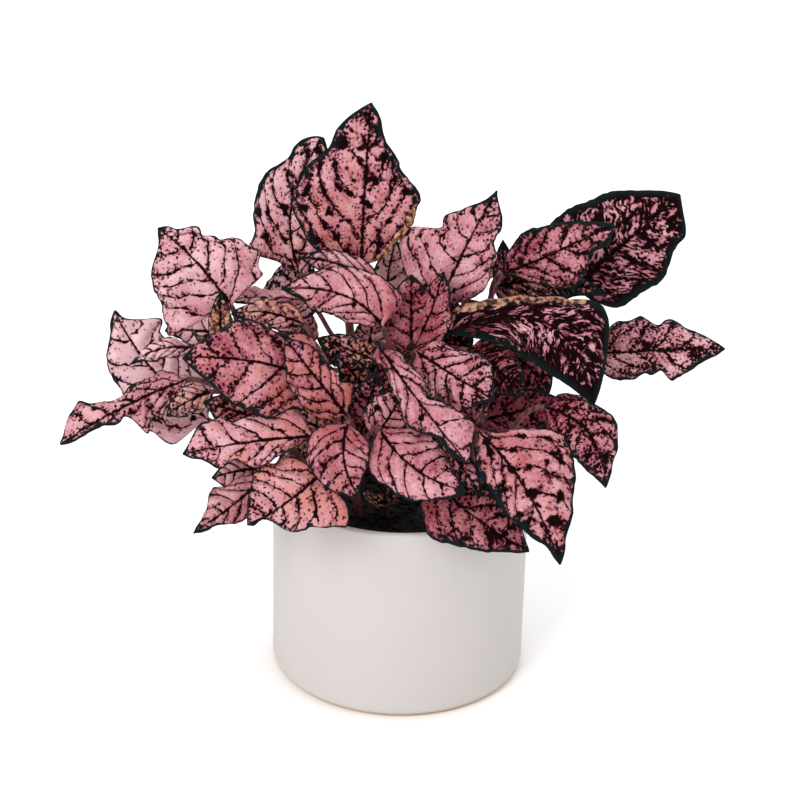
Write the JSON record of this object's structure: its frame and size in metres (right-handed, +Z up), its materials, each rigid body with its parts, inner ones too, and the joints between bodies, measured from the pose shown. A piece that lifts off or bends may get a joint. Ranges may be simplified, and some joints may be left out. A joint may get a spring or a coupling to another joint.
{
  "type": "potted polka dot plant",
  "caption": "Potted house plant: leafy shoots with large pink and dark green spotted leaves, standing in soil in a plain round ceramic pot.",
  "frame": {"origin": "middle of the pot's flat foot, on the surface that it stands on", "axes": "+Z up along the pot's axis, -Y towards the side that the plant shows in the picture, +X to its right"},
  "size_m": [0.2795, 0.1702, 0.2451],
  "materials": {
    "pot_ceramic": "matte off-white",
    "soil": "crumbly, damp",
    "stem": "satin",
    "leaf": "satin, pink with dark green veins, margins and specks"
  },
  "bodies": {
    "root": {"pot": "pot_ceramic", "soil": "soil", "stem_centre": "stem", "stem_front": "stem", "stem_left": "stem", "stem_top": "stem", "stem_right": "stem", "stem_corner": "stem", "stem_rear_left": "stem", "stem_rear_right": "stem", "stem_sprout": "stem", "leaf_top_1": "leaf", "leaf_top_2": "leaf", "leaf_top_3": "leaf", "leaf_top_4": "leaf", "leaf_left_1": "leaf", "leaf_left_2": "leaf", "leaf_left_3": "leaf", "leaf_left_4": "leaf", "leaf_left_5": "leaf", "leaf_left_6": "leaf", "leaf_left_7": "leaf", "leaf_left_8": "leaf", "leaf_left_9": "leaf", "leaf_front_1": "leaf", "leaf_front_2": "leaf", "leaf_front_3": "leaf", "leaf_front_4": "leaf", "leaf_front_5": "leaf", "leaf_front_6": "leaf", "leaf_front_7": "leaf", "leaf_front_8": "leaf", "leaf_centre_1": "leaf", "leaf_centre_2": "leaf", "leaf_centre_3": "leaf", "leaf_centre_4": "leaf", "leaf_centre_5": "leaf", "leaf_centre_6": "leaf", "leaf_centre_7": "leaf", "leaf_centre_8": "leaf", "leaf_right_1": "leaf", "leaf_right_2": "leaf", "leaf_right_3": "leaf", "leaf_right_4": "leaf", "leaf_right_5": "leaf", "leaf_corner_1": "leaf", "leaf_corner_2": "leaf", "leaf_corner_3": "leaf", "leaf_corner_4": "leaf", "leaf_rear_left_1": "leaf", "leaf_rear_left_2": "leaf", "leaf_rear_left_3": "leaf", "leaf_rear_left_4": "leaf", "leaf_rear_left_5": "leaf", "leaf_rear_right_1": "leaf", "leaf_rear_right_2": "leaf", "leaf_rear_right_3": "leaf", "leaf_rear_right_4": "leaf", "leaf_rear_right_5": "leaf", "leaf_rear_right_6": "leaf"}
  },
  "joints": []
}
